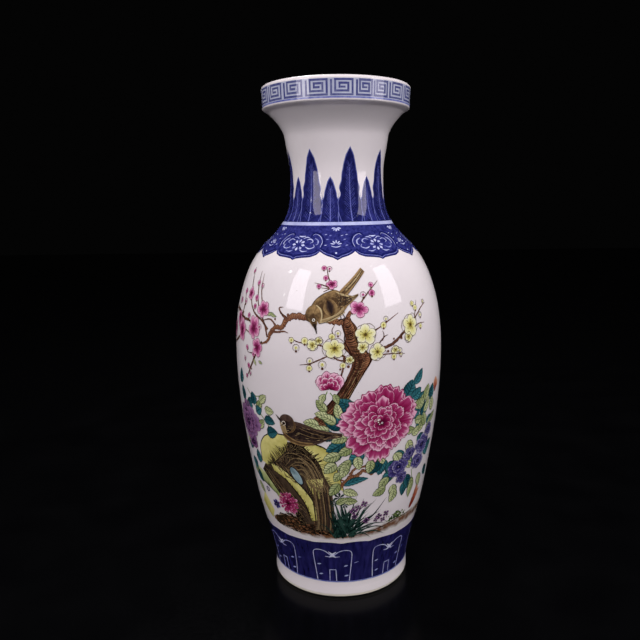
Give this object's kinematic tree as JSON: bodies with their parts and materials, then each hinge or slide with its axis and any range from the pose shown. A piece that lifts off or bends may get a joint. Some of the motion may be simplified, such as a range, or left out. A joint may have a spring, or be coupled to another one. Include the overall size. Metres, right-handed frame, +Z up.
{
  "type": "dish-mouth vase",
  "caption": "Tall porcelain baluster vase with a long neck and a dish mouth, glazed, with blue bands and a painted bird and flower scene.",
  "frame": {"origin": "middle of the plane that the foot ring stands on", "axes": "+Z up the axis of the vase, from foot to mouth; -Y is the side with the painted scene in the picture"},
  "size_m": [0.1774, 0.1774, 0.42],
  "materials": {
    "biscuit": "matt unglazed biscuit porcelain",
    "slip": "matt fired slip",
    "outer_glaze": "gloss clear glaze over white porcelain",
    "inner_glaze": "gloss clear glaze over white porcelain",
    "base_glaze": "gloss clear glaze over white porcelain",
    "cobalt_painting": "gloss underglaze cobalt blue",
    "enamel_painting": "gloss overglaze enamels in many colours"
  },
  "bodies": {
    "root": {"foot_section": "biscuit", "belly_section": "biscuit", "shoulder_section": "biscuit", "neck_section": "biscuit", "mouth_section": "biscuit", "lower_seam_slip": "slip", "belly_seam_slip": "slip", "neck_root_slip": "slip", "neck_top_slip": "slip", "outer_glaze": "outer_glaze", "inner_glaze": "inner_glaze", "base_glaze": "base_glaze"}
  },
  "joints": []
}
